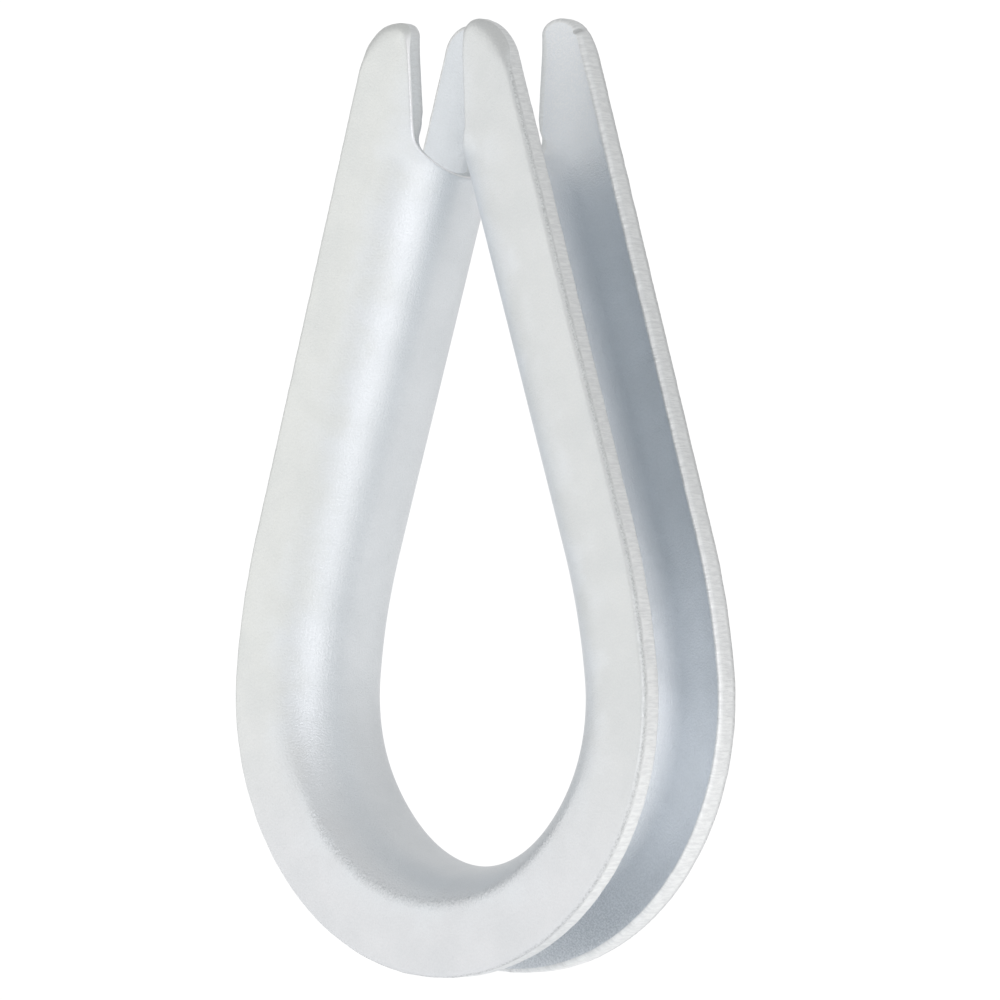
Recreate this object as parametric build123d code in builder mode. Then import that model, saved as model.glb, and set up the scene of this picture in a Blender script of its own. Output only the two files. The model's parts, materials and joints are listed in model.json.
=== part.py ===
from build123d import *
import os
from math import acos, cos, degrees, pi, radians, sin

# Wire rope thimble: one strip of sheet steel, rolled to a channel and bent to a
# teardrop.  The smooth back of the channel lines the eye and the open groove faces
# outwards, all the way round, for the rope.  Both ends of the strip are notched, so
# each leg ends in two rounded lobes.
#
# Frame: millimetres, +Z from the crown to the lobes, X across the eye and Y through
# it.  The origin is the centre of the crown's round, at mid width of the channel.

# The channel's section: the groove's round bottom, with a narrow land in its middle
sheet = 1.3
groove_radius = 1.95
web_land = 0.8
channel_depth = 5.62
rim_outer_round = 0.3
rim_inner_round = 0.15

# The teardrop, measured on the side of the eye: the legs end where they nearly meet
eye_radius = 8.75
hip_radius = 30.1
crown_rise = 5.8
leg_lean = 18.6
throat_gap = 1.37

# The strip's ends: the notch is in the web and the lobes are on the flanges
notch_radius = 4.0
notch_flare = 27.0
lobe_rise = 4.9
lobe_outer_radius = 2.16
lobe_inner_radius = 0.72

# The shear tool that trims the ends
trim_margin = 0.4
trim_overrun = 0.05
trim_stroke = 12.0
trim_steps = 16

# The channel's other sizes follow from the groove and the sheet
bend_radius = groove_radius + sheet
bend_length = bend_radius * pi / 2
groove_width = web_land + 2 * groove_radius
groove_depth = channel_depth - sheet
channel_width = groove_width + 2 * sheet
flange_flat = channel_depth - bend_radius
strip_half = web_land / 2 + bend_length + flange_flat


def outwards(angle):
    """The direction away from the eye, at an angle up from +X."""
    return Vector(cos(radians(angle)), 0, sin(radians(angle)))


def section_plane(centre, angle, radius):
    """A plane across the channel at its rim: local X points outwards, local Y is +Y."""
    rim_point = centre + outwards(angle) * (radius + channel_depth)
    return Plane(origin=rim_point, x_dir=outwards(angle), z_dir=outwards(angle + 90))


# The strip runs round the crown, then round the hip, whose arc is tangent to it, and
# then straight up the leg
crown_centre = Vector(0, 0, 0)
hip_centre = outwards(crown_rise) * (eye_radius - hip_radius)
leg_foot = hip_centre + outwards(leg_lean) * hip_radius
crown_plane = section_plane(crown_centre, -90, eye_radius)
hip_plane = section_plane(crown_centre, crown_rise, eye_radius)
leg_plane = section_plane(hip_centre, leg_lean, hip_radius)

# Heights along a leg, from its foot
notch_height = (leg_foot.X - throat_gap / 2) / sin(radians(leg_lean))
lobe_height = notch_height + lobe_rise
leg_length = lobe_height + lobe_outer_radius + trim_margin


def channel_section(plane):
    """The channel cut across, with its rim at the plane's origin."""
    with BuildSketch(plane) as section:
        with Locations((-channel_depth, 0)):
            Rectangle(channel_depth, channel_width, align=(Align.MIN, Align.CENTER))
        fillet(section.vertices().group_by(Axis.X)[0], bend_radius)
        with BuildSketch(mode=Mode.PRIVATE) as groove:
            with Locations((-groove_depth, 0)):
                Rectangle(groove_depth, groove_width, align=(Align.MIN, Align.CENTER))
            fillet(groove.vertices().group_by(Axis.X)[0], groove_radius)
        add(groove.sketch, mode=Mode.SUBTRACT)
        rim_corners = section.vertices().group_by(Axis.X)[-1].sort_by(Axis.Y)
        fillet([rim_corners[0], rim_corners[-1]], rim_outer_round)
        rim_corners = section.vertices().group_by(Axis.X)[-1].sort_by(Axis.Y)
        fillet(rim_corners[1:-1], rim_inner_round)
    return section.sketch


# The strip's end, laid flat: X runs across the strip from the middle of its web and Y
# along the leg.  Each half crosses the rim, goes round the lobe's two arcs and down
# the flared side of the notch to the middle of its round bottom.
flare_normal = Vector(cos(radians(notch_flare)), -sin(radians(notch_flare)))
notch_centre = Vector(0, notch_height + notch_radius)
lobe_centre = Vector(strip_half + trim_overrun - lobe_outer_radius, lobe_height)
lobe_inset = (lobe_centre - notch_centre).dot(flare_normal) - notch_radius
radius_step = lobe_outer_radius - lobe_inner_radius
lobe_turn = degrees(acos((lobe_inner_radius - lobe_inset) / radius_step)) - notch_flare
tip_step = Vector(cos(radians(lobe_turn)), sin(radians(lobe_turn))) * radius_step
tip_centre = lobe_centre + tip_step

with BuildLine() as end_line:
    lobe_start = lobe_centre + Vector(lobe_outer_radius, 0)
    Line(lobe_start + Vector(trim_margin, 0), lobe_start)
    CenterArc(lobe_centre, lobe_outer_radius, 0, lobe_turn)
    CenterArc(tip_centre, lobe_inner_radius, lobe_turn, 180 - notch_flare - lobe_turn)
    Line(tip_centre - flare_normal * lobe_inner_radius, notch_centre + flare_normal * notch_radius)
    CenterArc(notch_centre, notch_radius, -notch_flare, notch_flare - 90)
    mirror(about=Plane.YZ)


def on_leg(flat_point, depth):
    """Where a point of the flat strip is on the leg, at a depth from the eye side."""
    reach = abs(flat_point.X) - web_land / 2
    turn = min(max(reach, 0), bend_length) / bend_radius
    radius = bend_radius - depth
    out = max(reach - bend_length, 0) - radius * cos(turn) - flange_flat
    through = min(reach, 0) + web_land / 2 + radius * sin(turn)
    if flat_point.X < 0:
        through = -through
    return leg_plane.from_local_coords(Vector(out, through, flat_point.Y))


def trim_face(edge):
    """The shear face that stands square to the bent sheet along one edge of the end line."""
    sides = []
    for depth in (-trim_margin, sheet + trim_margin):
        points = [on_leg(edge.position_at(step / trim_steps), depth) for step in range(trim_steps + 1)]
        sides.append(Edge.make_spline(points))
    return Face.make_surface_from_curves(sides[0], sides[1])


with BuildPart() as thimble:
    revolve(channel_section(crown_plane), Axis(crown_centre, (0, -1, 0)), 90 + crown_rise)
    revolve(channel_section(hip_plane), Axis(hip_centre, (0, -1, 0)), leg_lean - crown_rise)
    extrude(channel_section(leg_plane), leg_length)
    for edge in end_line.edges():
        extrude(trim_face(edge), trim_stroke, dir=leg_plane.z_dir, mode=Mode.SUBTRACT)
    mirror(about=Plane.YZ)

thimble.part.label = "thimble"

os.makedirs("parts", exist_ok=True)
export_step(thimble.part, "parts/thimble.step")
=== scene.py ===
import json
from math import acos, atan2, cos, pi, radians, sin, sqrt

import bmesh
import bpy
import numpy as np
from mathutils import Euler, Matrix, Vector, noise
from mathutils.geometry import delaunay_2d_cdt
from mathutils.kdtree import KDTree


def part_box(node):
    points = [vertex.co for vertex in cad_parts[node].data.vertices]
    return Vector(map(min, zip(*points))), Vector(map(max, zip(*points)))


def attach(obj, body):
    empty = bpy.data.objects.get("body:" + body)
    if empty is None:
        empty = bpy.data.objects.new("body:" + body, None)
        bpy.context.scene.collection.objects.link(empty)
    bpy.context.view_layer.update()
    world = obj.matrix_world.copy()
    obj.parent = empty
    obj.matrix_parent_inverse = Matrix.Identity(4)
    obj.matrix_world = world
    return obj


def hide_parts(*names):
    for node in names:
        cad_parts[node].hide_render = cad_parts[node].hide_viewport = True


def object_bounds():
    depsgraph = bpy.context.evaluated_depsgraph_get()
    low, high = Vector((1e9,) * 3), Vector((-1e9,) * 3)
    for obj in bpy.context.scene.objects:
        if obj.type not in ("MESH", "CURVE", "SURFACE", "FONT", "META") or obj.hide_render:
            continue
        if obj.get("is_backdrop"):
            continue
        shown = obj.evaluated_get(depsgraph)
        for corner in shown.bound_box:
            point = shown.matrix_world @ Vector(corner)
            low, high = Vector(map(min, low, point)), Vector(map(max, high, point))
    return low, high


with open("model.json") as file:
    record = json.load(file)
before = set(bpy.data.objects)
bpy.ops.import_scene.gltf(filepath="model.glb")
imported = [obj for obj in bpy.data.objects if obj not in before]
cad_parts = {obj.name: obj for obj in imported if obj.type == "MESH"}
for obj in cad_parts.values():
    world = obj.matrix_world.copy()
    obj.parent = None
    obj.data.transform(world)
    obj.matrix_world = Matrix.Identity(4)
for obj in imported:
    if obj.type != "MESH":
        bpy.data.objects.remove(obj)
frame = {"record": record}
cad_low, cad_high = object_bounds()

# ---------------------------------------------------------------- the thimble
# One strip of zinc-plated sheet steel, sheared with a notch and two lobes at each end, formed
# to a channel and bent to a teardrop round a former, with the groove outwards. It is drawn
# flat, as the sheared blank, and then bent as the real strip is.

MM = 0.001
box_low, box_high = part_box("thimble")
mounts = {mount["name"]: mount for mount in frame["record"]["mounts"]}

# The channel and the teardrop, in millimetres
channel_width = (box_high.y - box_low.y) / MM
rim_radius = box_high.x / MM
eye_radius = mounts["eye_seat"]["dims"]["r_mm"]
channel_depth = rim_radius - eye_radius
sheet = 1.3
bend_radius = 3.25
neutral_out = 3.0
hip_radius = 30.1
crown_rise = radians(5.8)
leg_lean = radians(18.6)
throat_gap = 1.37

# The same, laid flat: across the strip, and along it from the middle of the crown
web_half = channel_width / 2 - bend_radius
bend_length = bend_radius * pi / 2
flange_flat = channel_depth - bend_radius
strip_half = web_half + bend_length + flange_flat
crown_length = (eye_radius + neutral_out) * (pi / 2 + crown_rise)
hip_length = (hip_radius + neutral_out) * (leg_lean - crown_rise)
leg_start = crown_length + hip_length


def direction(angle):
    """Unit vectors at an angle."""
    return np.stack([np.cos(angle), np.sin(angle)], axis=-1)


hip_centre = direction(crown_rise) * (eye_radius - hip_radius)
leg_foot = hip_centre + direction(leg_lean) * hip_radius
notch_foot = leg_start + (leg_foot[0] - throat_gap / 2) / sin(leg_lean)

# Each lobe is a little different: the radius of the notch beside it, how far out the notch's
# side is and how it flares, how high over the notch's foot the lobe's arc is centred, the
# arc's radius, and how much the flange spreads for each millimetre up the leg
lobes = {
    "rear right": {"notch": 5.4, "side": 4.48, "flare": 20, "rise": 5.40, "radius": 1.65, "spread": 0.0044},
    "front right": {"notch": 7.0, "side": 4.92, "flare": 15, "rise": 4.20, "radius": 3.05, "spread": 0.0024},
    "front left": {"notch": 5.4, "side": 4.35, "flare": 20, "rise": 4.85, "radius": 2.10, "spread": 0.0042},
    "rear left": {"notch": 5.4, "side": 4.50, "flare": 20, "rise": 5.40, "radius": 1.85, "spread": 0.0030},
}
lobe_places = {"rear right": (1, 1), "front right": (-1, 1), "front left": (-1, -1), "rear left": (1, -1)}
notch_gauge = 4.0
notch_corner = 1.35
lobe_tip_radius = 0.74
edge_pitch = 0.085


def edge_line(start, finish, normal, stretch):
    """Points on a straight stretch of the blank's edge, with inward normals."""
    count = max(int(np.linalg.norm(finish - start) / edge_pitch), 3)
    steps = np.linspace(0, 1, count, endpoint=False)
    points = start + (finish - start) * steps[:, None]
    return points, np.tile(normal, (count, 1)), [stretch] * count


def edge_arc(centre, radius, start, sweep, stretch, hollow=False):
    """Points on an arc of the blank's edge, with inward normals; a notch is a hollow arc."""
    count = max(int(abs(sweep) * radius / edge_pitch), 3)
    spokes = direction(start + sweep * np.linspace(0, 1, count, endpoint=False))
    return centre + spokes * radius, spokes if hollow else -spokes, [stretch] * count


def blank_quarter(lobe):
    """The edge round one lobe, from the middle of a rim to the middle of the notch."""
    flare = radians(lobe["flare"])
    side_point = np.array([lobe["side"], notch_foot + notch_gauge])
    side_run = np.array([sin(flare), cos(flare)])
    side_normal = np.array([cos(flare), -sin(flare)])

    # The lobe: a large arc from the rim, and a small one that runs into the notch's side
    lobe_centre = np.array([strip_half - lobe["radius"], notch_foot + lobe["rise"]])
    inset = (lobe_centre - side_point) @ side_normal
    radius_step = lobe["radius"] - lobe_tip_radius
    turn = acos((lobe_tip_radius - inset) / radius_step) - flare
    tip_centre = lobe_centre + direction(turn) * radius_step
    side_top = tip_centre - side_normal * lobe_tip_radius

    # The notch: its arc, and the rounded corner between that and its side
    notch_centre = np.array([0.0, notch_foot + lobe["notch"]])
    corner_line = side_point - side_normal * notch_corner - notch_centre
    midway = corner_line @ side_run
    excess = corner_line @ corner_line - (lobe["notch"] - notch_corner) ** 2
    corner_centre = notch_centre + corner_line + side_run * (-midway - sqrt(midway**2 - excess))
    corner_turn = atan2(*(corner_centre - notch_centre)[::-1])
    side_foot = corner_centre + side_normal * notch_corner

    rim_middle = np.array([strip_half, 0.0])
    rim_top = lobe_centre + np.array([lobe["radius"], 0.0])
    pieces = [
        edge_line(rim_middle, rim_top, np.array([-1.0, 0.0]), "rim"),
        edge_arc(lobe_centre, lobe["radius"], 0.0, turn, "lobe"),
        edge_arc(tip_centre, lobe_tip_radius, turn, pi - flare - turn, "tip"),
        edge_line(side_top, side_foot, side_normal, "notch"),
        edge_arc(corner_centre, notch_corner, -flare, corner_turn + flare, "notch", hollow=True),
        edge_arc(notch_centre, lobe["notch"], corner_turn, -pi / 2 - corner_turn, "notch", hollow=True),
    ]
    return [np.concatenate(column) for column in zip(*pieces)]


def blank_outline():
    """The blank's whole edge, anticlockwise: points, inward normals and stretch names."""
    quarters = []
    for name, place in lobe_places.items():
        points, normals, stretches = blank_quarter(lobes[name])
        points, normals = points * place, normals * place
        if place[0] * place[1] < 0:
            points = np.concatenate([points[1:], [[0.0, notch_foot * place[1]]]])[::-1]
            normals = np.concatenate([normals[1:], [[0.0, -place[1]]]])[::-1]
            stretches = np.concatenate([stretches[1:], ["notch"]])[::-1]
        quarters.append((points, normals, stretches))
    return [np.concatenate(column) for column in zip(*quarters)]


# The sheared edge: rolled over on the side of the eye, most of all round the lobes, with
# smaller rolls on the side of the groove and the marks of the shear between them
eye_rolls = {"rim": 0.26, "lobe": 0.80, "tip": 0.56, "notch": 0.17}
groove_rolls = {"rim": 0.22, "lobe": 0.22, "tip": 0.4, "notch": 0.62}
mark_strengths = {"rim": 1.0, "lobe": 0.9, "tip": 0.5, "notch": 0.15}
roll_ease = 1.3
roll_flatness = 0.8
eye_roll_steps = 5
cut_steps = 3
groove_roll_steps = 4


def eased(stretches, amounts):
    """An amount at each point of the edge, eased from one stretch to the next."""
    wanted = np.array([amounts[stretch] for stretch in stretches])
    reach = int(roll_ease / edge_pitch)
    window = np.hanning(2 * reach + 3)[1:-1]
    padded = np.concatenate([wanted[-reach:], wanted, wanted[:reach]])
    return np.convolve(padded, window / window.sum(), mode="valid")


nibble_size = 0.022
nibble_length = 0.9
nibble_slant = 0.6
nibble_seed = 3.1
mark_size = 0.012
mark_length = 0.2
mark_slant = 0.9
mark_seed = 7.7


def shear_marks(run, depth):
    """The nibbles and cross marks that the shear left, as a change of inset."""
    marks = []
    for round_edge, into_sheet in zip(run, depth):
        nibble_place = (round_edge / nibble_length, into_sheet * nibble_slant, nibble_seed)
        mark_place = (round_edge / mark_length, into_sheet * mark_slant, mark_seed)
        nibble = noise.noise(Vector(nibble_place))
        mark = noise.noise(Vector(mark_place))
        marks.append(nibble_size * nibble + mark_size * mark)
    return np.array(marks)


nick_turn = radians(16)
nick_depth = 0.10
nick_width = 0.13


def nick_shares(points):
    """How deep in the nick of the rear right lobe each point of the edge is, from 0 to 1."""
    lobe = lobes["rear right"]
    lobe_centre = np.array([strip_half - lobe["radius"], notch_foot + lobe["rise"]])
    nick_place = lobe_centre + direction(nick_turn) * lobe["radius"]
    return np.exp(-np.sum((points - nick_place) ** 2, axis=1) / nick_width**2)


def edge_rings(points, normals, stretches):
    """Rings round the blank: rolled corner, cut face and rolled corner, with their nick."""
    eye_roll = eased(stretches, eye_rolls)
    groove_roll = eased(stretches, groove_rolls)
    rings = []
    for turn in np.linspace(0, pi / 2, eye_roll_steps + 1):
        rings.append((eye_roll * (1 - sin(turn)), eye_roll * roll_flatness * (1 - cos(turn))))
    cut_start = rings[-1][1]
    cut_end = sheet - groove_roll
    for step in range(1, cut_steps):
        rings.append((eye_roll * 0, cut_start + (cut_end - cut_start) * step / cut_steps))
    for turn in np.linspace(0, pi / 2, groove_roll_steps + 1):
        rings.append((groove_roll * (1 - cos(turn)), sheet - groove_roll * (1 - sin(turn))))

    marked = eased(stretches, mark_strengths)
    run = np.cumsum(np.linalg.norm(np.roll(points, 1, axis=0) - points, axis=1))
    nick = nick_shares(points)
    places = []
    nicks = []
    for number, (inset, depth) in enumerate(rings):
        if 0 < number < len(rings) - 1:
            inset = inset + shear_marks(run, depth) * marked
        nicks.append(nick * (depth / sheet) ** 2)
        inset = inset + nick_depth * nicks[-1]
        places.append(np.column_stack([points + normals * inset[:, None], depth]))
    return np.array(places), run, np.array(nicks)


# The flat surfaces inside the edge, in even triangles
surface_pitch = 0.28
edge_clearance = 0.13


def surface_points(rim):
    """Points of a staggered grid inside a ring of the blank."""
    nearby = KDTree(len(rim))
    for number, (across, along) in enumerate(rim):
        nearby.insert((across, along, 0), number)
    nearby.balance()
    ends = {}
    for place in lobe_places.values():
        end = rim * place
        end = end[(end[:, 0] >= 0) & (end[:, 1] > leg_start)]
        ends[place] = end[np.argsort(end[:, 0])]
    kept = []
    row_pitch = surface_pitch * sqrt(3) / 2
    for row, along in enumerate(np.arange(-rim[:, 1].max(), rim[:, 1].max(), row_pitch)):
        shift = surface_pitch / 2 * (row % 2)
        for across in np.arange(-strip_half + shift, strip_half, surface_pitch):
            end = ends[1 if across >= 0 else -1, 1 if along >= 0 else -1]
            if abs(along) > np.interp(abs(across), end[:, 0], end[:, 1]):
                continue
            if abs(across) > end[-1, 0]:
                continue
            if nearby.find((across, along, 0))[2] > edge_clearance:
                kept.append((across, along))
    return np.array(kept)


def surface_faces(rim, inner):
    """Triangles between a ring and the grid inside it, numbered ring first."""
    inside_only = 1
    tolerance = 1e-7
    corners = [Vector(place) for place in np.concatenate([rim, inner])]
    borders = [(number, (number + 1) % len(rim)) for number in range(len(rim))]
    result = delaunay_2d_cdt(corners, borders, [], inside_only, tolerance)
    first_of = [originals[0] for originals in result[3]]
    return [[first_of[corner] for corner in face] for face in result[2]]


outline, inward, stretches = blank_outline()
rings, edge_run, nicked = edge_rings(outline, inward, stretches)
ring_count, ring_size = rings.shape[:2]
edge_count = ring_count * ring_size
eye_grid = surface_points(rings[0][:, :2])
groove_grid = surface_points(rings[-1][:, :2])
blank_points = np.concatenate([
    rings.reshape(-1, 3),
    np.column_stack([eye_grid, np.zeros(len(eye_grid))]),
    np.column_stack([groove_grid, np.full(len(groove_grid), sheet)]),
])


def renumbered(faces, ring_start, grid_start):
    """Faces of one surface, numbered as in the whole blank."""
    shifts = (ring_start, grid_start - ring_size)
    return [[corner + shifts[corner >= ring_size] for corner in face] for face in faces]


eye_faces = renumbered(surface_faces(rings[0][:, :2], eye_grid), 0, edge_count)
eye_faces = [face[::-1] for face in eye_faces]
groove_faces = surface_faces(rings[-1][:, :2], groove_grid)
groove_faces = renumbered(groove_faces, edge_count - ring_size, edge_count + len(eye_grid))
edge_faces = []
for low in range(0, edge_count - ring_size, ring_size):
    high = low + ring_size
    for here in range(ring_size):
        after = (here + 1) % ring_size
        edge_faces.append([low + here, low + after, high + after, high + here])


def smooth_step(low, high, value):
    """A share that eases from 0 at the low value to 1 at the high one."""
    share = np.clip((value - low) / (high - low), 0, 1)
    return share * share * (3 - 2 * share)


# The crown: bending over the former has pressed the web's corners in to a crease
crease_depth = 3.86
crease_softness = 0.28
crease_starts = radians(-14)
crease_full = radians(-48)
crease_reach = 4.15
crease_width = 0.30
crease_clearance = 1.2
web_points = 200
flange_points = 100
flange_past_rim = 2
section_points = 1201


def creased_section():
    """The pressed section: a shallow web that meets the flanges at a soft crease."""
    half = channel_width / 2
    rise = channel_depth - crease_depth
    web_radius = (half**2 + rise**2) / (2 * rise)
    web_angle = np.arcsin(half / web_radius)
    turns = np.linspace(-web_angle, web_angle, web_points)
    web = np.column_stack([web_radius * (1 - np.cos(turns)), web_radius * np.sin(turns)])
    flange_rises = np.linspace(rise, channel_depth + flange_past_rim, flange_points)
    flange = np.column_stack([flange_rises, np.full(flange_points, half)])
    corners = np.concatenate([flange[::-1] * (1, -1), web, flange])

    run = np.cumsum(np.linalg.norm(np.diff(corners, axis=0, prepend=corners[:1]), axis=1))
    run = run - run[-1] / 2
    even = np.linspace(run[0], run[-1], section_points)
    spacing = even[1] - even[0]
    reach = int(3 * crease_softness / spacing)
    window = np.exp(-0.5 * (np.arange(-reach, reach + 1) * spacing / crease_softness) ** 2)
    window = window / window.sum()
    sharp = [np.interp(even, run, corners[:, axis]) for axis in (0, 1)]
    soft = [np.convolve(line, window, mode="same") for line in sharp]
    middle = section_points // 2
    rim_run = np.interp(channel_depth, sharp[0][middle:], even[middle:])
    return even / rim_run * strip_half, soft


def strip_path(along):
    """The outward direction's angle and the point on the eye's side, along the bent strip."""
    run = np.abs(along)
    crown = np.minimum(run, crown_length) / (eye_radius + neutral_out)
    hip = np.clip(run - crown_length, 0, hip_length) / (hip_radius + neutral_out)
    angle = crown + hip - pi / 2
    leg = np.maximum(run - leg_start, 0)
    crown_point = direction(angle) * eye_radius
    hip_point = hip_centre + direction(angle) * hip_radius
    leg_point = leg_foot + direction(leg_lean + pi / 2) * leg[:, None]
    point = np.where((run > crown_length)[:, None], hip_point, crown_point)
    point = np.where((run > leg_start)[:, None], leg_point, point)
    return angle, point


# The ends, where the flanges are flattened down to the notch and spread apart
end_bend_radius = 1.85
end_ease_start = 0.1
end_ease = 1.9

# The rolling leaves the sheet a little uneven
wave_size = 0.012
wave_length = 5.0
wave_seed = 0.4


def lobe_spread(across, along):
    """How much each flange spreads for each millimetre up its leg."""
    front = np.where(along > 0, lobes["front right"]["spread"], lobes["front left"]["spread"])
    rear = np.where(along > 0, lobes["rear right"]["spread"], lobes["rear left"]["spread"])
    return front + (rear - front) * smooth_step(-web_half - bend_length, web_half + bend_length, across)


def bent(blank):
    """Bends points of the blank (across, along, depth) to the thimble, with their crease."""
    across, along, depth = blank.T
    angle, point = strip_path(along)
    reach = np.abs(across)
    from_rim = strip_half - reach

    # The channel's section
    flattened = smooth_step(end_ease_start, end_ease_start + end_ease, np.abs(along) - notch_foot)
    radius = bend_radius + (end_bend_radius - bend_radius) * flattened
    flange = channel_depth - radius
    turn = pi / 2 - (from_rim - flange) / radius
    bend = np.clip(turn, 0, pi / 2)
    up_flange = np.maximum(flange - from_rim, 0)
    out = radius - (radius - depth) * np.cos(bend) + up_flange
    through = channel_width / 2 - radius + (radius - depth) * np.sin(bend) + np.minimum(turn, 0) * radius

    # The crease, on the side of the eye
    marks, soft = creased_section()
    creased = smooth_step(-crease_starts, -crease_full, -angle) * (1 - depth / sheet)
    pressed = creased * smooth_step(0, crease_clearance, from_rim)
    eye_out = bend_radius * (1 - np.cos(bend)) + up_flange
    eye_through = np.minimum(reach, web_half) + bend_radius * np.sin(bend)
    out = out + (np.interp(reach, marks, soft[0]) - eye_out) * pressed
    through = through + (np.interp(reach, marks, soft[1]) - eye_through) * pressed
    crease_mark = creased * np.exp(-(((reach - crease_reach) / crease_width) ** 2))

    # The spread flanges and the waves
    out = out * (1 + lobe_spread(across, along) * np.maximum(np.abs(along) - leg_start, 0))
    wave_places = blank[:, :2] / wave_length
    waves = np.array([noise.noise(Vector((*place, wave_seed))) for place in wave_places])
    through = through - wave_size * (1 + waves) * np.sin(bend)
    out = out + wave_size * waves * np.cos(bend)

    place = point + direction(angle) * out[:, None]
    side = np.where(along < 0, -1.0, 1.0)
    formed = np.column_stack([place[:, 0] * side, through * np.sign(across), place[:, 1]])
    return formed, crease_mark


formed_points, crease_marks = bent(blank_points)
all_faces = eye_faces + groove_faces + edge_faces
thimble_mesh = bpy.data.meshes.new("formed_thimble")
thimble_mesh.from_pydata((formed_points * MM).tolist(), [], all_faces)
cut_start = len(eye_faces) + len(groove_faces) + eye_roll_steps * ring_size
on_cut = (np.arange(len(all_faces)) >= cut_start).astype(np.int32)
thimble_mesh.polygons.foreach_set("material_index", on_cut)
thimble_mesh.polygons.foreach_set("use_smooth", np.ones(len(all_faces), dtype=bool))


def mark_points(name, kind, values):
    """Gives the mesh's points a named value or vector, from the first point on; where the
    values end, the other points get zero."""
    marks = np.zeros((len(blank_points), *values.shape[1:]), dtype=np.float32)
    marks[: len(values)] = values
    attribute = thimble_mesh.attributes.new(name, kind, "POINT")
    attribute.data.foreach_set("vector" if kind == "FLOAT_VECTOR" else "value", marks.ravel())


band_inner = 0.45
band_step = 0.11
band_shares = eased(stretches, eye_rolls) - eye_rolls["rim"]
band_shares = np.clip(band_shares / (eye_rolls["tip"] - eye_rolls["rim"]), 0, 1)
band_rings = band_inner + band_step * np.arange(eye_roll_steps + 1)
edge_marks = [
    np.tile(edge_run, ring_count),
    rings[:, :, 2].ravel(),
    np.tile(eased(stretches, mark_strengths), ring_count),
]
mark_points("blank", "FLOAT_VECTOR", blank_points)
mark_points("crease", "FLOAT", crease_marks)
mark_points("edge", "FLOAT_VECTOR", np.column_stack(edge_marks))
mark_points("lobe_band", "FLOAT", np.outer(band_rings, band_shares).ravel())
mark_points("nick", "FLOAT", nicked.ravel())

mesh_tool = bmesh.new()
mesh_tool.from_mesh(thimble_mesh)
bmesh.ops.recalc_face_normals(mesh_tool, faces=mesh_tool.faces)
mesh_tool.to_mesh(thimble_mesh)
mesh_tool.free()
thimble = bpy.data.objects.new("thimble_strip", thimble_mesh)
bpy.context.collection.objects.link(thimble)

node_column = 220
node_row = 260
nodes_in_row = 10


def add_node(tree, kind, **settings):
    """Adds a node to a tree, in the next free place of its rows, with its settings."""
    node = tree.nodes.new(kind)
    row, column = divmod(len(tree.nodes), nodes_in_row)
    node.location = ((column - nodes_in_row) * node_column, -row * node_row)
    for name, value in settings.items():
        setattr(node, name, value)
    return node


def point_value(tree, name):
    """A named value of the mesh's points."""
    return add_node(tree, "ShaderNodeAttribute", attribute_name=name).outputs["Fac"]


def point_vector(tree, name):
    """A named vector of the mesh's points, whole and in its three parts."""
    whole = add_node(tree, "ShaderNodeAttribute", attribute_name=name).outputs["Vector"]
    parts = add_node(tree, "ShaderNodeSeparateXYZ")
    tree.links.new(whole, parts.inputs[0])
    return whole, parts.outputs


def noise_in(tree, place, scale, detail, roughness=0.5):
    """A noise from 0 to 1 at a place."""
    node = add_node(tree, "ShaderNodeTexNoise")
    node.inputs["Scale"].default_value = scale
    node.inputs["Detail"].default_value = detail
    node.inputs["Roughness"].default_value = roughness
    tree.links.new(place, node.inputs["Vector"])
    return node.outputs[0]


def stretched(tree, place, factors):
    """A place with each of its three parts multiplied."""
    node = add_node(tree, "ShaderNodeVectorMath", operation="MULTIPLY")
    node.inputs[1].default_value = factors
    tree.links.new(place, node.inputs[0])
    return node.outputs[0]


def ranged(tree, source, span, to_span=(0.0, 1.0)):
    """A value moved from one span to another, eased at both ends."""
    node = add_node(tree, "ShaderNodeMapRange", interpolation_type="SMOOTHSTEP")
    tree.links.new(source, node.inputs["Value"])
    node.inputs["From Min"].default_value, node.inputs["From Max"].default_value = span
    node.inputs["To Min"].default_value, node.inputs["To Max"].default_value = to_span
    return node.outputs[0]


def worked(tree, operation, first, *others):
    """A sum, product or the like of values; each is a socket or a number."""
    for other in others:
        node = add_node(tree, "ShaderNodeMath", operation=operation)
        for socket, value in zip(node.inputs, (first, other)):
            if isinstance(value, float):
                socket.default_value = value
            else:
                tree.links.new(value, socket)
        first = node.outputs[0]
    return first


def mixed(tree, share, first, second, blend="MIX"):
    """Two colours mixed; each is a socket or a colour."""
    node = add_node(tree, "ShaderNodeMix", data_type="RGBA", blend_type=blend)
    tree.links.new(share, node.inputs["Factor"])
    for socket, value in ((node.inputs[6], first), (node.inputs[7], second)):
        if isinstance(value, tuple):
            socket.default_value = (*value, 1.0)
        else:
            tree.links.new(value, socket)
    return node.outputs[2]


def bumped(tree, height, distance, normal=None):
    """A bump in metres, on top of another."""
    node = add_node(tree, "ShaderNodeBump")
    node.inputs["Strength"].default_value = 1.0
    node.inputs["Distance"].default_value = distance
    tree.links.new(height, node.inputs["Height"])
    if normal:
        tree.links.new(normal, node.inputs["Normal"])
    return node.outputs[0]


dark_colour = (0.42, 0.43, 0.43)


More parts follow.
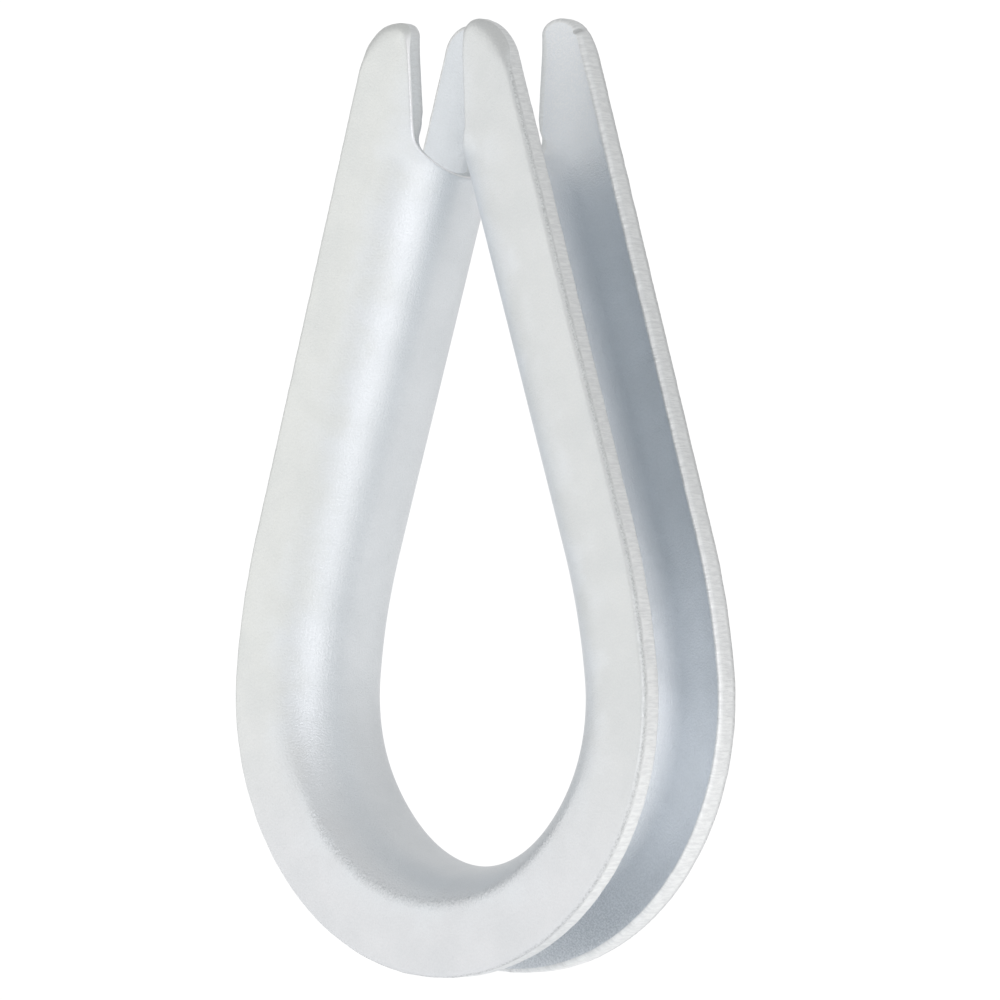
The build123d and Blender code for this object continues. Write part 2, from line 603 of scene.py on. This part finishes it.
def zinc_faces():
    """Zinc on the rolled faces: warmer on the flanges, bluish in the groove, with painted light
    making the groove lighter at the crown, frosted at the lobes, with fine grain, clouds, rough
    flecks on the crease, a painted shade line along the rim and a painted highlight along the
    notch's corner."""
    flange_colour = (0.812, 0.826, 0.808)
    crown_flange_colour = (0.812, 0.820, 0.838)
    right_flange_colour = (0.765, 0.780, 0.778)
    web_colour = (0.805, 0.832, 0.857)
    hollow_colour = (0.755, 0.790, 0.825)
    # Painted light: the groove's colour at the crown is lighter, standing in for light from the floor
    floor_lit_crown_hollow_colour = (0.89, 0.92, 0.955)
    low_hollow_colour = (0.70, 0.735, 0.77)
    frost_colour = (0.84, 0.85, 0.86)
    notch_highlight_colour = (0.98, 0.98, 0.99)
    # The colour of the painted highlight on the notch's rolled corner
    dull_colour = (0.56, 0.60, 0.62)

    # How strong each mark is, from its weakest to its strongest
    cloud_dulling = (0.0, 0.12)
    grain_dulling = (0.0, 0.10)
    bottom_mottling = (0.35, 1.0)
    fleck_strength = (0.04, 0.55)
    frost_strength = (0.25, 0.75)
    left_frost_share = (0.15, 1.0)
    # The dark line along the rim is painted shade, and the bright line at the notch is a painted highlight
    painted_rim_shade_strength = (0.0, 0.55)
    painted_rim_shade_breaks = (0.12, 1.0)
    painted_notch_highlight_strength = (0.9, 0.0)
    lobe_dulling = (0.0, 0.20)
    roughness = (0.30, 0.37)

    # Where in the noises each mark starts and is full
    drift_span = (0.2, 0.8)
    mottling_span = (0.42, 0.58)
    cloud_span = (0.35, 0.7)
    grain_span = (0.38, 0.62)
    fleck_span = (0.52, 0.60)
    frost_span = (0.45, 0.60)
    painted_rim_shade_span = (0.44, 0.60)
    roughness_span = (0.3, 0.7)

    # Where one finish passes to the next, in millimetres on the blank
    web_to_flange = (2.6, 6.2)
    eye_to_groove = (sheet * 0.4, sheet * 0.9)
    crown_to_leg = (15.0, 31.0)
    left_to_crown = (-22.0, -9.0)
    crown_to_right = (8.0, 20.0)
    off_bottom = (4.0, 13.0)
    leg_to_lobe = (43.5, 51.0)
    left_to_right = (-40.0, 40.0)
    cloud_drift = (-1.5, 1.5)
    painted_rim_shade_depth = (0.02, 0.14)
    painted_notch_highlight_depth = (0.01, 0.06)

    material = bpy.data.materials.new("zinc_plated_face")
    material.use_nodes = True
    tree = material.node_tree
    shader = tree.nodes["Principled BSDF"]
    shader.inputs["Metallic"].default_value = 1.0
    blank, (across, along, depth) = point_vector(tree, "blank")
    edge_depth, marked = point_vector(tree, "edge")[1][1:]
    crease = point_value(tree, "crease")
    lobe_band = point_value(tree, "lobe_band")
    grain_size = 0.11
    grain = noise_in(tree, blank, 1 / grain_size, 3.0, 0.65)
    clouds = noise_in(tree, blank, 0.35, 4.0, 0.55)
    drift = ranged(tree, clouds, drift_span, cloud_drift)
    reach = worked(tree, "ADD", worked(tree, "ABSOLUTE", across, 0.0), drift)
    climb = worked(tree, "ADD", worked(tree, "ABSOLUTE", along, 0.0), drift)

    flange = mixed(tree, ranged(tree, along, left_to_crown), flange_colour, crown_flange_colour)
    flange = mixed(tree, ranged(tree, along, crown_to_right), flange, right_flange_colour)
    eye_side_colour = mixed(tree, ranged(tree, reach, web_to_flange), web_colour, flange)

    mottling = ranged(tree, grain, mottling_span, bottom_mottling)
    at_bottom = worked(tree, "MULTIPLY", ranged(tree, climb, off_bottom, (1.0, 0.0)), mottling)
    # Painted light: the groove is lighter at the crown, where the lit floor shines into it
    hollow = mixed(tree, ranged(tree, climb, crown_to_leg), floor_lit_crown_hollow_colour, hollow_colour)
    hollow = mixed(tree, at_bottom, hollow, low_hollow_colour)
    in_groove = ranged(tree, depth, eye_to_groove)
    on_eye_side = worked(tree, "SUBTRACT", 1.0, in_groove)
    colour = mixed(tree, in_groove, eye_side_colour, hollow)

    colour = mixed(tree, ranged(tree, clouds, cloud_span, cloud_dulling), colour, dull_colour)
    colour = mixed(tree, ranged(tree, grain, grain_span, grain_dulling), colour, dull_colour)
    flecks = ranged(tree, grain, fleck_span, fleck_strength)
    colour = mixed(tree, worked(tree, "MULTIPLY", crease, flecks), colour, dull_colour)

    at_lobe = ranged(tree, climb, leg_to_lobe)
    frost_grain = ranged(tree, grain, frost_span, frost_strength)
    frost_side = ranged(tree, along, left_to_right, left_frost_share)
    frost = worked(tree, "MULTIPLY", at_lobe, frost_grain, in_groove, frost_side)
    colour = mixed(tree, frost, colour, frost_colour)

    # Painted shade: a dark line along the rolled rim corner on the eye's side, broken by the grain and faint
    # at the lobes
    painted_rim_shade = ranged(tree, edge_depth, painted_rim_shade_depth, painted_rim_shade_strength)
    line_breaks = ranged(tree, grain, painted_rim_shade_span, painted_rim_shade_breaks)
    off_lobe = ranged(tree, lobe_band, (0.0, 0.5), (1.0, 0.1))
    painted_rim_shade = worked(tree, "MULTIPLY", painted_rim_shade, line_breaks, marked, on_eye_side, off_lobe)
    colour = mixed(tree, painted_rim_shade, colour, dark_colour)
    # Painted highlight: a bright line along the rolled corner of the notch on the eye's side
    painted_notch_highlight = ranged(tree, edge_depth, painted_notch_highlight_depth)
    on_notch = ranged(tree, marked, (0.15, 0.45), painted_notch_highlight_strength)
    painted_notch_highlight = worked(tree, "MULTIPLY", painted_notch_highlight, on_notch, on_eye_side)
    colour = mixed(tree, painted_notch_highlight, colour, notch_highlight_colour)
    colour = mixed(tree, ranged(tree, lobe_band, (0.0, 1.0), lobe_dulling), colour, dark_colour)
    tree.links.new(colour, shader.inputs["Base Color"])
    tree.links.new(ranged(tree, clouds, roughness_span, roughness), shader.inputs["Roughness"])

    peel_height = 0.00013
    grain_height = 0.00003
    drawn_height = 0.000008
    drawn_stretch = (5.0, 0.12, 0.0)
    peel = noise_in(tree, blank, 3.6, 5.0, 0.65)
    drawn_place = stretched(tree, blank, drawn_stretch)
    bump = bumped(tree, worked(tree, "MULTIPLY", peel, crease), peel_height)
    bump = bumped(tree, grain, grain_height, bump)
    bump = bumped(tree, noise_in(tree, drawn_place, 1.0, 3.0), drawn_height, bump)
    tree.links.new(bump, shader.inputs["Normal"])
    return material


def zinc_edge():
    """Zinc on the sheared edge: cross marks, a broken dark line where the metal tore off, a
    darker notch, legs a little duller than the crown, and the dirt in the nick."""
    valley_colour = (0.85, 0.86, 0.865)
    crest_colour = (0.96, 0.97, 0.97)
    notch_colour = (0.86, 0.88, 0.89)
    leg_tint = (0.88, 0.885, 0.885)
    tear_depth = (0.22, 0.42)
    crown_to_leg = (21.0, 33.0)
    mark_stretch = (1.4, 0.22, 0.0)
    mark_height = 0.00005
    tear_strength = (0.5, 0.0)
    tear_gaps = (0.2, 1.0)
    nick_dirt = (0.0, 0.6)

    material = bpy.data.materials.new("zinc_plated_edge")
    material.use_nodes = True
    tree = material.node_tree
    shader = tree.nodes["Principled BSDF"]
    shader.inputs["Metallic"].default_value = 1.0
    shader.inputs["Roughness"].default_value = 0.40
    along = point_vector(tree, "blank")[1][1]
    edge, (_, edge_depth, marked) = point_vector(tree, "edge")
    nick = point_value(tree, "nick")
    marks = noise_in(tree, stretched(tree, edge, mark_stretch), 5.0, 4.0, 0.65)
    colour = mixed(tree, ranged(tree, marks, (0.38, 0.62)), valley_colour, crest_colour)
    colour = mixed(tree, marked, notch_colour, colour)
    tear_line = ranged(tree, edge_depth, tear_depth, tear_strength)
    tear_breaks = ranged(tree, marks, (0.40, 0.60), tear_gaps)
    colour = mixed(tree, worked(tree, "MULTIPLY", tear_line, tear_breaks, marked), colour, dark_colour)
    up_leg = ranged(tree, worked(tree, "ABSOLUTE", along, 0.0), crown_to_leg)
    colour = mixed(tree, up_leg, colour, leg_tint, blend="MULTIPLY")
    colour = mixed(tree, ranged(tree, nick, (0.1, 0.5), nick_dirt), colour, dark_colour)
    tree.links.new(colour, shader.inputs["Base Color"])
    tree.links.new(bumped(tree, marks, mark_height), shader.inputs["Normal"])
    return material


thimble_mesh.materials.append(zinc_faces())
thimble_mesh.materials.append(zinc_edge())
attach(thimble, "root")
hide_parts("thimble")

# ---------------------------------------------------------------- the table
# A wide table top under white paper, so bright that it takes no shadow. Its glow falls
# off a little behind the thimble.

floor_reach = 3.0
floor_drop = 0.0002
paper_white = 0.80
paper_glow = 0.43
glow_falls = (0.0, 0.05)
glow_behind = 0.66
seen_white = 1.05
floor_height = cad_low.z - floor_drop
floor_mesh = bpy.data.meshes.new("table_top")
floor_turns = ((-1, -1), (1, -1), (1, 1), (-1, 1))
floor_corners = [(x * floor_reach, y * floor_reach, floor_height) for x, y in floor_turns]
floor_mesh.from_pydata(floor_corners, [], [(0, 1, 2, 3)])
floor = bpy.data.objects.new("table_top", floor_mesh)
bpy.context.collection.objects.link(floor)


def seen_and_unseen(tree, unseen, seen, output):
    """One shader for what the camera sees of a thing, another for the light it gives."""
    light_path = add_node(tree, "ShaderNodeLightPath")
    choice = add_node(tree, "ShaderNodeMixShader")
    tree.links.new(light_path.outputs["Is Camera Ray"], choice.inputs[0])
    tree.links.new(unseen.outputs[0], choice.inputs[1])
    tree.links.new(seen.outputs[0], choice.inputs[2])
    tree.links.new(choice.outputs[0], tree.nodes[output].inputs["Surface"])


white_paper = bpy.data.materials.new("white_paper")
white_paper.use_nodes = True
tree = white_paper.node_tree
paper = tree.nodes["Principled BSDF"]
paper.inputs["Base Color"].default_value = (paper_white, paper_white, paper_white, 1.0)
paper.inputs["Roughness"].default_value = 1.0
paper.inputs["Specular IOR Level"].default_value = 0.0
paper.inputs["Emission Strength"].default_value = paper_glow
spot = add_node(tree, "ShaderNodeNewGeometry")
spot_parts = add_node(tree, "ShaderNodeSeparateXYZ")
tree.links.new(spot.outputs["Position"], spot_parts.inputs[0])
glow = ranged(tree, spot_parts.outputs[1], glow_falls, (1.0, glow_behind))
glow_colour = add_node(tree, "ShaderNodeCombineColor")
for channel in glow_colour.inputs:
    tree.links.new(glow, channel)
tree.links.new(glow_colour.outputs[0], paper.inputs["Emission Color"])
overexposed = add_node(tree, "ShaderNodeEmission")
overexposed.inputs["Strength"].default_value = seen_white
seen_and_unseen(tree, paper, overexposed, "Material Output")
floor_mesh.materials.append(white_paper)
floor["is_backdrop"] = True

# ---------------------------------------------------------------- the light
# A white tent with even light all round, wide soft boxes on the left and on the right, a
# small one beside the camera, and a bright card that lies in front of the thimble.

tent_light = 0.68
tent = bpy.data.worlds.new("white_tent")
tent.use_nodes = True
bpy.context.scene.world = tent
tree = tent.node_tree
inside = tree.nodes["Background"]
inside.inputs["Color"].default_value = (tent_light, tent_light, tent_light, 1.0)
inside.inputs["Strength"].default_value = 1.0
outside = add_node(tree, "ShaderNodeBackground")
outside.inputs["Color"].default_value = (1.0, 1.0, 1.0, 1.0)
outside.inputs["Strength"].default_value = seen_white
seen_and_unseen(tree, inside, outside, "World Output")


def towards(azimuth, elevation):
    """The direction from the thimble to a place round it; azimuth 0 is its front."""
    level = cos(elevation)
    return Vector((sin(azimuth) * level, -cos(azimuth) * level, sin(elevation)))


def soft_light(name, place, turn, width, height, colour, brightness):
    """A soft light that isn't seen itself, so bright to look at from its front."""
    data = bpy.data.lights.new(name, "AREA")
    data.shape = "RECTANGLE"
    data.size = width
    data.size_y = height
    data.color = colour
    data.energy = brightness * pi * width * height
    light = bpy.data.objects.new(name, data)
    light.location = place
    light.rotation_mode = "QUATERNION"
    light.rotation_quaternion = turn
    light.visible_camera = False
    bpy.context.collection.objects.link(light)


lit_height = 0.01
cool_white = (0.95, 0.94, 1.0)
soft_boxes = {
    "left_box": (-42, 12, 1.2, 1.2, (1.0, 0.99, 0.97), 0.30),
    "camera_box": (43, 6, 1.0, 0.27, cool_white, 1.4),
    "right_box": (97, 20, 1.2, 1.0, (0.93, 0.97, 1.0), 0.24),
}
for name, (azimuth, elevation, distance, size, colour, brightness) in soft_boxes.items():
    away = towards(radians(azimuth), radians(elevation))
    place = away * distance + Vector((0, 0, lit_height))
    soft_light(name, place, away.to_track_quat("Z", "Y"), size, size, colour, brightness)

card_azimuth = radians(43)
card_distance = 0.11 * cos(radians(6))
card_lift = 0.002
card_tilt = 0.25
card_width = 0.07
card_length = 0.18
card_brightness = 0.85
card_place = towards(card_azimuth, 0.0) * card_distance
card_place.z = cad_low.z + card_lift
card_turn = Euler((pi - card_tilt, 0, card_azimuth)).to_quaternion()
soft_light(
    "front_card", card_place, card_turn, card_width, card_length, cool_white, card_brightness
)

# ---------------------------------------------------------------- the camera
# A long lens, to the right of the thimble's front, about level with its eye.

sensor_width = 36.0
focal_length = 217.15
camera_azimuth = radians(42.284)
camera_elevation = radians(-1.134)
camera_distance = 0.3103
aim_point = Vector((0.00272, -0.00145, 0.01019))
camera_data = bpy.data.cameras.new("camera")
camera_data.sensor_width = sensor_width
camera_data.lens = focal_length
camera_data.clip_start = 0.01
camera_data.clip_end = 10.0
camera = bpy.data.objects.new("camera", camera_data)
to_camera = towards(camera_azimuth, camera_elevation)
camera.location = aim_point + to_camera * camera_distance
camera.rotation_mode = "QUATERNION"
camera.rotation_quaternion = to_camera.to_track_quat("Z", "Y")
bpy.context.collection.objects.link(camera)
bpy.context.scene.camera = camera
bpy.context.scene.view_settings.view_transform = "Standard"

low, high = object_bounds()
